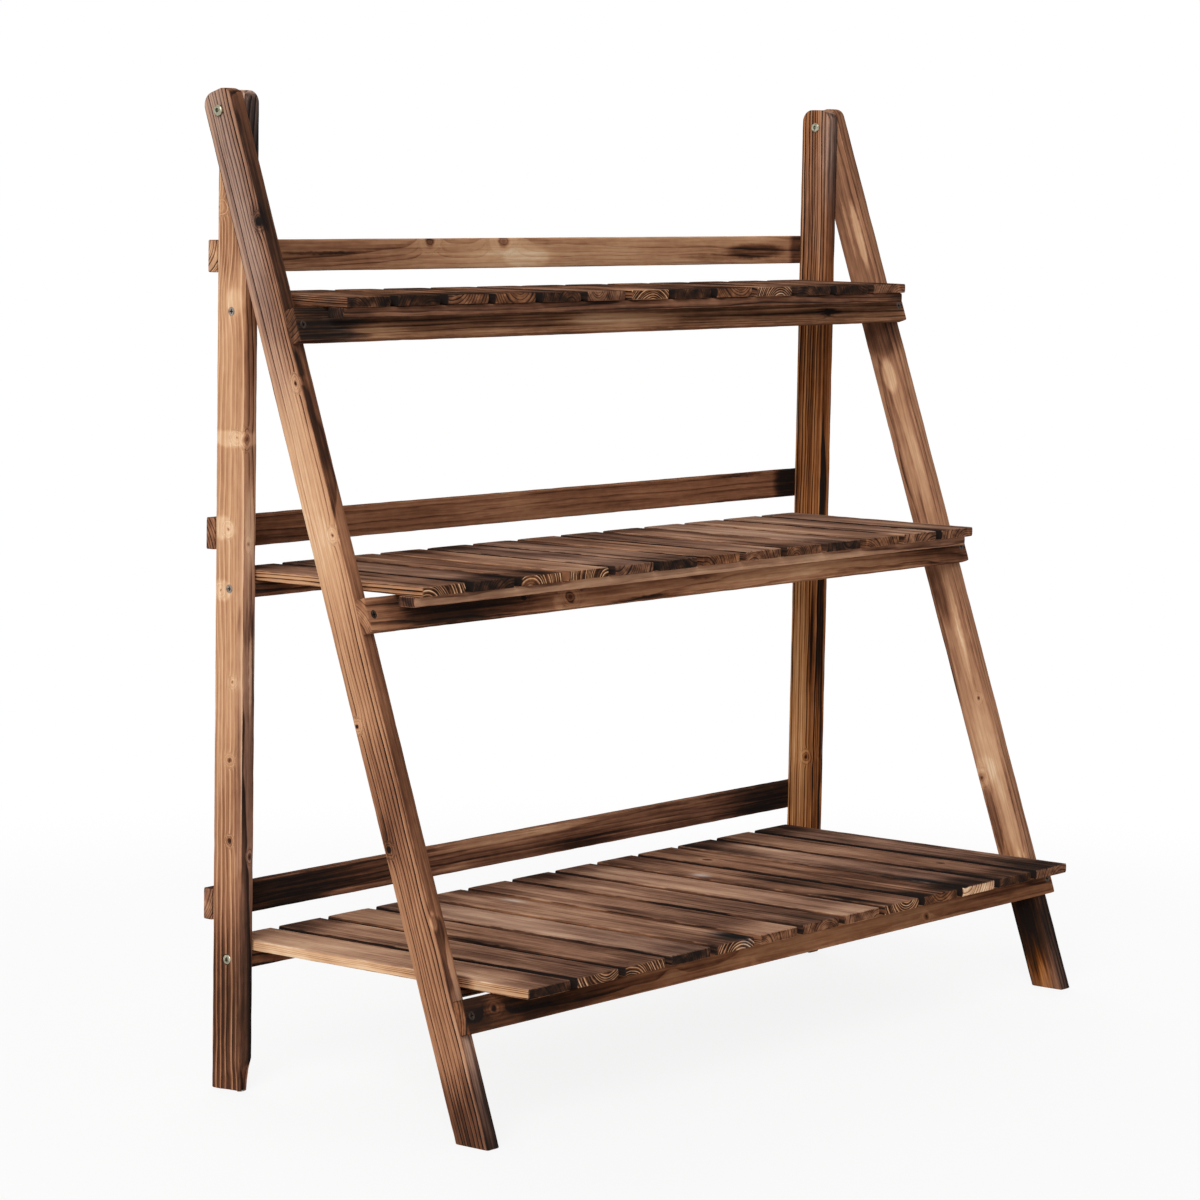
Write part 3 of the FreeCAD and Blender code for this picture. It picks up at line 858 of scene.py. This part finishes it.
FINISHES["front_leg_right"] = Finish(
    level=0.44, saturation=0.96, hue=0.502, spacing=6, pith=(4, 34), rings=0.13, edge_rings=0.08,
    wander=9, waves=1.2, patch=0.08, ends=(0.3, 0.08), end_reach=150, side=(-0.06, 0), wear=0.1,
    cap=0.5,
    knots=marks(Knot, LEG_FACE,
        (318, -8, 8, 7, 2, 0.14), (235, 13, 12, 9, 4.5, 0.06), (143, -10, 7, 6, 0, 0.2),
    ),
    scorches=marks(Scorch, LEG_FACE,
        (840, 4, 110, 24, 0.16), (850, 3, 40, 2, -0.14, 0.5), (838, -8, 42, 5, -0.32, 0.4),
        (728, -3, 30, 24, 0.26, 0.5), (684, 12, 12, 6, 0.06, 0.5), (682, -1, 21, 9, -0.25, 0.35),
        (590, -6, 80, 12, -0.08, 0.8), (570, -8, 60, 7, -0.12, 0.5), (560, 13, 110, 6, 0.12, 0.6),
        (440, 6, 40, 8, 0.24, 0.6), (408, -7, 60, 3, -0.22, 0.6), (400, 17, 90, 5, 0.22),
        (370, -4, 50, 4, -0.16, 0.5), (262, -5, 60, 13, -0.18, 0.5), (242, 6, 17, 14, -0.1, 0.4),
        (186, 11, 44, 6, 0.26, 0.35), (180, -9, 46, 8, -0.16, 0.5), (80, 2, 55, 24, 0.32),
        (92, 0, 32, 12, 0.14, 0.5), (8, 2, 26, 14, -0.22),
    ) + front_marks(Scorch,
        (50, 0, 70, 14, 0.04),
    ),
    ashes=front_marks(Scorch, (50, 0, 90, 14, 0.3)) + marks(Scorch, LEG_FACE, (60, 0, 80, 30, -0.25)),
)
FINISHES["back_rail_top"] = Finish(
    level=0.35, saturation=0.98, hue=0.502, pith=(20, -40), rings=0.1, wander=5, waves=0.5,
    patch=0.06, ends=(0.2, 0.1), end_reach=110, wear=0.08, cap=0.42, cap_rings=0.5,
    knots=marks(Knot, RAIL_FACE, (300, 12, 18, 12, 6, 0.1), (413, 12, 26, 15, 7, 0.16)),
    scorches=marks(Scorch, RAIL_FACE,
        (170, 4, 130, 22, 0.2), (135, 2, 55, 1.6, 0.22, 0.5), (410, -5, 85, 11, -0.1, 0.6),
        (450, -4, 40, 13, -0.13, 0.25), (600, -4, 45, 14, -0.08), (790, 0, 60, 20, 0.06),
        (780, -7, 75, 4, 0.16, 0.5), (840, -1, 56, 9, 0.32, 0.4), (925, 0, 22, 40, 0.3, 0.4),
    ),
)
FINISHES["back_rail_middle"] = Finish(
    level=0.56, pith=(-20, -44), rings=0.08, waves=0.5, patch=0.06, ends=(0.12, 0.06),
    end_reach=130, wear=0.1, cap=0.62, cap_rings=0.3,
    scorches=marks(Scorch, RAIL_FACE,
        (120, 0, 70, 20, 0.08), (420, 4, 60, 16, -0.1), (820, 14, 50, 2.5, 0.22, 0.6),
        (925, 0, 42, 40, 0.42, 0.35),
    ),
)
FINISHES["back_rail_bottom"] = Finish(
    level=0.66, saturation=0.95, pith=(30, -60), rings=0.1, waves=0.4, streaks=0.14,
    ends=(0.2, 0.2), end_reach=200, wear=0.2, cap=0.6, cap_rings=0.35,
    scorches=marks(Scorch, RAIL_FACE,
        (150, 2, 130, 24, 0.16), (210, -12, 70, 3, -0.24, 0.7), (345, -9, 45, 4, -0.18, 0.7),
        (420, 11, 110, 6, -0.26, 0.8), (520, 12, 60, 4, -0.28, 0.7), (560, -6, 60, 8, 0.14),
        (880, 0, 60, 24, 0.16),
    ),
)
FINISHES["front_rail_top"] = Finish(
    level=0.66, saturation=0.98, hue=0.503, pith=(40, -24), rings=0.1, waves=0.5, streaks=0.2,
    patch=0.08, ends=(0.16, 0.08), end_reach=80, wear=0.16, cap=0.74, cap_rings=0.22,
    knots=marks(Knot, RAIL_FACE, (829, -5, 10, 6, 4, 0)),
    scorches=marks(Scorch, RAIL_FACE,
        (40, 0, 60, 24, 0.2), (112, -9, 40, 7, -0.26, 0.7), (300, -12, 150, 3, -0.14),
        (470, -6, 90, 11, -0.38, 0.8), (829, -5, 14, 5, 0.3),
    ),
    ashes=marks(Scorch, RAIL_FACE, (60, 0, 24, 20, 0.25)),
)
FINISHES["front_rail_middle"] = Finish(
    level=0.54, pith=(-24, -44), rings=0.1, wander=4, waves=0.6, streaks=0.1, patch=0.08,
    ends=(0, 0.16), end_reach=110, cap=0.5, cap_rings=0.2,
    knots=marks(Knot, RAIL_FACE, (288, -5, 17, 12, 5.4, 0.12), (220, -1, 9, 6, 2, 0)),
    scorches=marks(Scorch, RAIL_FACE,
        (10, 0, 18, 30, -0.04, 0.6), (125, 0, 110, 26, 0.42), (268, -10, 8, 8, -0.14, 0.6),
        (400, -15, 60, 3, 0.28, 0.6), (500, 0, 30, 3, 0.2, 0.6), (620, -6, 190, 12, -0.24),
        (900, 4, 70, 9, 0.14),
    ),
)
FINISHES["front_rail_bottom"] = Finish(
    level=0.56, saturation=1.03, spacing=3.6, pith=(8, -50), rings=0.08, wander=6, streaks=0.09,
    patch=0.08, ends=(0.2, 0.06), wear=0.1, cap=0.68,
    knots=marks(Knot, RAIL_FACE,
        (40, 2, 14, 10, 3, 0.22), (300, -6, 16, 9, 0, 0.1), (425, -6, 16, 9, 0, 0.1),
        (729, -9, 9, 7, 3.6, 0.1),
    ),
    scorches=marks(Scorch, RAIL_FACE,
        (100, 0, 140, 26, 0.32), (560, -2, 200, 18, -0.14), (880, -2, 90, 6, 0.18, 0.7),
    ),
)
for tier in TIERS:
    FINISHES[tier + "_rear_batten"] = Finish(
        level=0.62, spacing=3.6, pith=(20, -18), ends=(0.2, 0.2), wear=0.12
    )
FINISHES["top_front_batten"] = Finish(
    level=0.67, saturation=0.95, pith=(-26, 8), edge_rings=0.12, cap=0.95
)
FINISHES["middle_front_batten"] = Finish(
    level=0.33, saturation=0.92, pith=(-30, 6), edge_rings=0.12, ends=(0.1, 0.24), end_reach=250,
    cap=0.8,
)
FINISHES["bottom_front_batten"] = Finish(level=0.58, pith=(-26, 8), ends=(0.2, 0.2))

# Slats by shelf: their usual char and the painted sheen that greys their tops, those burnt at their rear or
# front, those paler at their front, and those whose sawn front ends are black, have pale rings or stayed
# cream
SLAT_LEVELS = {"top": 0.65, "middle": 0.49, "bottom": 0.53}
SLAT_TOP_SHEENS = {"top": 0.06, "middle": 0.14, "bottom": 0.14}
BURNT_REARS = {"top": {1, 4, 7, 11}, "middle": {1, 2, 4, 5, 9}, "bottom": {2, 4, 5, 7, 8, 11, 13}}
BURNT_FRONTS = {"top": {2, 3, 9}, "middle": {2, 6, 10}, "bottom": {1, 4, 5, 11}}
PALE_FRONTS = {"top": {7, 10}, "middle": {4, 8, 12}, "bottom": {6, 8, 9}}
BLACK_ENDS = {"top": {1, 2, 5, 8, 11, 12}, "middle": {2, 6, 10}, "bottom": {1, 4, 12}}
PALE_ENDS = {"top": {7, 10}, "middle": {1, 3, 4}, "bottom": {2, 3, 5, 9}}
CREAM_END = ("bottom", 11)

# The sawn ends' char and that of their rings
PLAIN_CAP = (0.70, 0.26)
BLACK_CAP = (0.92, 0.20)
PALE_CAP = (0.70, -0.55)
CREAM_CAP = (0.30, 0.50)

# The pith of the outermost slats, and the ranges that the others' is drawn from
OUTER_PITH = (24.0, -24.0)
PITH_ACROSS = (-30, 30)
PITH_THROUGH = (7, 26)

# Char of the outermost sides, and the ranges that the slats' own char and the painted shade of their gaps
# are drawn from
SIDE_CHAR = {"top": 0.17, "middle": -0.03, "bottom": -0.13}
GAP_SHADE_CHAR = (0.23, 0.41)
LEVEL_CHAR = (-0.06, 0.06)
REAR_CHAR = (-0.06, 0.04)
BURNT_REAR_CHAR = (0.12, 0.24)
FRONT_CHAR = (0.04, 0.18)
BURNT_FRONT_CHAR = (0.14, 0.30)
PALE_FRONT_CHAR = (-0.24, -0.12)

# Streaky scorches on each slat: how many, their strengths, and the ranges of their places and sizes
SCORCH_COUNT = 5
SCORCH_STRENGTHS = (0.18, 0.12, -0.12, -0.09)
SCORCH_ALONG = (0.1, 1.0)
SCORCH_ACROSS = (-28, 28)
SCORCH_LENGTH = (35, 90)
SCORCH_WIDTH = (4, 11)

# The bottom shelf darkens from left to right about one slat, and is paler towards its rear
BOTTOM_SLOPE = 0.22
BOTTOM_USUAL = 5
BOTTOM_PALE = Scorch(90, 0, SLAT_FACE, 120, 60, -0.14)

# Marks on single slats
SLAT_KNOTS = {
    ("bottom", 5): (Knot(80, 17, SLAT_FACE, 16, 9, 0, 0.16),),
    ("bottom", 9): (Knot(126, -18, SLAT_FACE, 12, 8, 0, 0.26),),
    ("bottom", 10): (Knot(76, -8, SLAT_FACE, 16, 10, 4.5, 0.16),),
    ("bottom", 12): (Knot(267, 7, SLAT_FACE, 9, 6, 3.5, 0.0),),
    ("middle", 12): (Knot(185, 25, SLAT_FACE, 10, 5, 4.0, 0.0),),
}
SLAT_SCORCHES = {
    ("bottom", 1): (Scorch(283, -30, 0, 18, 10, 0.40, 0.5),),
    ("bottom", 5): (Scorch(348, 18, SLAT_FACE, 22, 12, 0.35),),
    ("bottom", 6): (Scorch(120, -15, SLAT_FACE, 55, 14, -0.18),),
    ("bottom", 9): (Scorch(325, -22, SLAT_FACE, 50, 7, 0.30),),
    ("bottom", 11): (Scorch(310, -22, SLAT_FACE, 22, 9, 0.25),),
    ("top", 1): (Scorch(50, -30, 0, 14, 10, 0.40),),
}
SLAT_ASHES = {
    ("bottom", 5): (Scorch(348, 18, SLAT_FACE, 22, 12, 0.60), Scorch(80, 17, SLAT_FACE, 16, 9, 0.30)),
    ("bottom", 9): (Scorch(126, -18, SLAT_FACE, 12, 8, 0.50),),
    ("bottom", 11): (Scorch(310, -22, SLAT_FACE, 22, 9, 0.50),),
}


def slat_finish(length, tier, number):
    """A slat's finish: patchy, often burnt towards an end, with painted shade on its sides in the gaps, with
    its arrises rubbed.
    """
    draw = random.Random("%s slat %d" % (tier, number))
    outer = {1: -1, SLAT_COUNT: 1}.get(number, 0)
    pith = (outer * OUTER_PITH[0], OUTER_PITH[1])
    if not outer:
        pith = (draw.uniform(*PITH_ACROSS), draw.choice((-1, 1)) * draw.uniform(*PITH_THROUGH))
    gap_shade = draw.uniform(*GAP_SHADE_CHAR)
    darker = 0.0
    scorches = []
    if tier == "bottom":
        darker = BOTTOM_SLOPE * (number - BOTTOM_USUAL) / SLAT_COUNT
        scorches.append(BOTTOM_PALE)
    cap, cap_rings = PLAIN_CAP
    if number in BLACK_ENDS[tier]:
        cap, cap_rings = BLACK_CAP
    elif number in PALE_ENDS[tier]:
        cap, cap_rings = PALE_CAP
    elif (tier, number) == CREAM_END:
        cap, cap_rings = CREAM_CAP
    rear = draw.uniform(*(BURNT_REAR_CHAR if number in BURNT_REARS[tier] else REAR_CHAR))
    front = draw.uniform(*FRONT_CHAR)
    if number in BURNT_FRONTS[tier]:
        front = draw.uniform(*BURNT_FRONT_CHAR)
    elif number in PALE_FRONTS[tier]:
        front = draw.uniform(*PALE_FRONT_CHAR)
    for count in range(SCORCH_COUNT):
        along = draw.uniform(*SCORCH_ALONG) * length
        across = draw.uniform(*SCORCH_ACROSS)
        strength = draw.choice(SCORCH_STRENGTHS)
        size = (draw.uniform(*SCORCH_LENGTH), draw.uniform(*SCORCH_WIDTH))
        scorches.append(Scorch(along, across, SLAT_FACE, *size, strength))
    return Finish(
        level=SLAT_LEVELS[tier] + draw.uniform(*LEVEL_CHAR) + darker,
        saturation=draw.uniform(0.94, 1.04),
        dull=SLAT_TOP_SHEENS[tier],
        hue=0.502,
        spacing=draw.uniform(2.4, 3.6),
        pith=pith,
        rings=0.07,
        edge_rings=0.50 if outer else 0.24,
        wander=draw.uniform(1.5, 4.0),
        streaks=0.10,
        patch=0.15,
        feather=0.4,
        ends=(rear, front),
        end_reach=draw.uniform(45, 65),
        # On an outermost slat the outward side, which faces no gap, trades the painted shade for its own
        # char
        side=(outer * (SIDE_CHAR[tier] - gap_shade), 0.05),
        edges=gap_shade,
        wear=0.36,
        cap=cap,
        cap_rings=cap_rings,
        cap_blotch=0.20,
        knots=SLAT_KNOTS.get((tier, number), ()),
        scorches=tuple(scorches) + SLAT_SCORCHES.get((tier, number), ()),
        ashes=SLAT_ASHES.get((tier, number), ()),
    )


def finish_of(board):
    """The finish of a board, by its name."""
    if board.name in FINISHES:
        return FINISHES[board.name]
    tier, kind, number = board.name.split("_")
    return slat_finish(board.length, tier, int(number))


# Pieces

CHIPS = {"rear_leg_left": (Chip(0.0, LEG_FRONT, -LEG_FACE, 30.0, 6.0),)}
# Each coat's last number is the share of painted shade in its hollows
ZINC = Coat("zinc_plate", srgb(190, 188, 166), srgb(128, 124, 104), 0.32, 0.75)
STEEL = Coat("screw_steel", srgb(178, 166, 156), srgb(112, 100, 92), 0.40, 0.80)
BLACK_STEEL = Coat("blackened_steel", srgb(86, 73, 65), srgb(49, 42, 38), 0.50, 0.60)
FASTENER_COATS = {
    "fold_bolts": ZINC,
    "fold_nuts": ZINC,
    "shelf_pivot_bolts": ZINC,
    "rear_frame_screws": STEEL,
    "front_rail_screws": BLACK_STEEL,
}


def board_piece(board, holes):
    """A finished board that stands for its node."""
    is_leg = "_leg_" in board.name
    mesh = board_mesh(board, is_leg, board.name.startswith("front_leg"), CHIPS.get(board.name, ()))
    piece = linked(board.name + "_board", mesh)
    if holes:
        cut_holes(piece, holes)
    for face in piece.data.polygons:
        face.use_smooth = True
    piece.data.set_sharp_from_angle(angle=SHARP_ANGLE)
    piece.data.materials.clear()
    piece.data.materials.append(wood(board, finish_of(board)))
    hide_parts(board.name)
    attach(piece, board.body)


def add_brads(boards, tier, steel):
    """The heads of the brads that hold a shelf's slats, on the undersides of its battens."""
    by_name = {board.name: board for board in boards}
    profile = [(BRAD_RADIUS, BRAD_RISE), (BRAD_RADIUS, -BRAD_DEPTH)]
    heads = []
    for end in ("rear", "front"):
        batten = by_name["%s_%s_batten" % (tier, end)]
        for number in range(1, SLAT_COUNT + 1):
            place = batten.start - Z_AXIS * batten.thickness / 2
            place.x = by_name["%s_slat_%02d" % (tier, number)].start.x
            heads.append((place, -Z_AXIS, profile))
    piece = linked(tier + "_brads", turned_mesh(tier + "_brads", heads))
    piece.data.materials.append(steel)
    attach(piece, tier + "_shelf")


def dress_fasteners(boards):
    """Metal for the screws, bolts, nuts and brads."""
    metals = {coat: metal(coat) for coat in (ZINC, STEEL, BLACK_STEEL)}
    for name, coat in FASTENER_COATS.items():
        mesh = frame["nodes"][name].data
        mesh.materials.clear()
        mesh.materials.append(metals[coat])
    for tier in TIERS:
        add_brads(boards, tier, metals[BLACK_STEEL])


# Stage


def add_camera():
    """The camera at the photograph's viewing angle."""
    yaw, pitch, roll = [math.radians(angle) for angle in (CAMERA_YAW, CAMERA_PITCH, CAMERA_ROLL)]
    forward = Vector((-math.sin(yaw) * math.cos(pitch), math.cos(yaw) * math.cos(pitch), -math.sin(pitch)))
    level_right = Vector((math.cos(yaw), math.sin(yaw), 0))
    level_up = level_right.cross(forward)
    right = math.cos(roll) * level_right + math.sin(roll) * level_up
    up = -math.sin(roll) * level_right + math.cos(roll) * level_up
    camera = linked("camera", bpy.data.cameras.new("camera"))
    camera.data.lens = CAMERA_LENS
    camera.data.sensor_width = CAMERA_SENSOR
    camera.data.sensor_fit = "HORIZONTAL"
    turn = Matrix((right, up, -forward)).transposed().to_4x4()
    camera.matrix_world = Matrix.Translation(CAMERA_PLACE) @ turn
    bpy.context.scene.camera = camera


def add_sun(name, direction, share, softness):
    """A soft lamp that shines from a direction. A share of 1 shows a facing white surface as white."""
    lamp = bpy.data.lights.new(name, "SUN")
    lamp.energy = math.pi * share
    lamp.angle = math.radians(softness)
    sun = linked(name, lamp)
    sun.rotation_mode = "QUATERNION"
    sun.rotation_quaternion = direction.to_track_quat("Z", "Y")


def seen_directly(graph):
    """1 for rays from the camera, mirrors or glass, and 0 for light that falls on the object."""
    path = graph.node("ShaderNodeLightPath")
    mirrored = graph.math("MAXIMUM", path.outputs["Is Camera Ray"], path.outputs["Is Glossy Ray"])
    return graph.math("MAXIMUM", mirrored, path.outputs["Is Transmission Ray"])


def add_world():
    """Even light, with a white background."""
    world = bpy.data.worlds.new("studio")
    bpy.context.scene.world = world
    graph = Graph(world)
    light = graph.node("ShaderNodeBackground", {"Color": WHITE, "Strength": AMBIENT_SHARE})
    white = graph.node("ShaderNodeBackground", {"Color": WHITE, "Strength": 1.0})
    feeds = {0: seen_directly(graph), 1: light.outputs[0], 2: white.outputs[0]}
    graph.finish(graph.node("ShaderNodeMixShader", feeds), "ShaderNodeOutputWorld")


def add_floor():
    """A pale floor that keeps a faint shadow near the object and runs out into white."""
    mesh = bpy.data.meshes.new("floor")
    corners = [(x * FLOOR_RADIUS, y * FLOOR_RADIUS, 0) for x, y in ((-1, -1), (1, -1), (1, 1), (-1, 1))]
    mesh.from_pydata(corners, [], [(0, 1, 2, 3)])
    floor = linked("floor", mesh)
    material = bpy.data.materials.new("pale_floor")
    graph = Graph(material)
    place = graph.node("ShaderNodeTexCoord").outputs["Object"]
    bright = graph.smooth(graph.vector("LENGTH", place), *SHADOW_REACH, 1 - SHADOW_SHARE, 1.0)
    share = graph.math("MULTIPLY", bright, seen_directly(graph))
    diffuse = graph.node("ShaderNodeBsdfDiffuse", {"Color": FLOOR_COLOUR})
    white = graph.node("ShaderNodeEmission", {"Color": WHITE, "Strength": 1.0})
    feeds = {0: share, 1: diffuse.outputs[0], 2: white.outputs[0]}
    graph.finish(graph.node("ShaderNodeMixShader", feeds))
    mesh.materials.append(material)


boards = all_boards()
holes = holes_by_board(boards)
for board in boards:
    board_piece(board, holes[board.name])
dress_fasteners(boards)
add_camera()
add_sun("key", KEY_DIRECTION, KEY_SHARE, KEY_SOFTNESS)
add_sun("back", BACK_DIRECTION, BACK_SHARE, BACK_SOFTNESS)
add_world()
add_floor()
bpy.context.scene.view_settings.view_transform = "Standard"
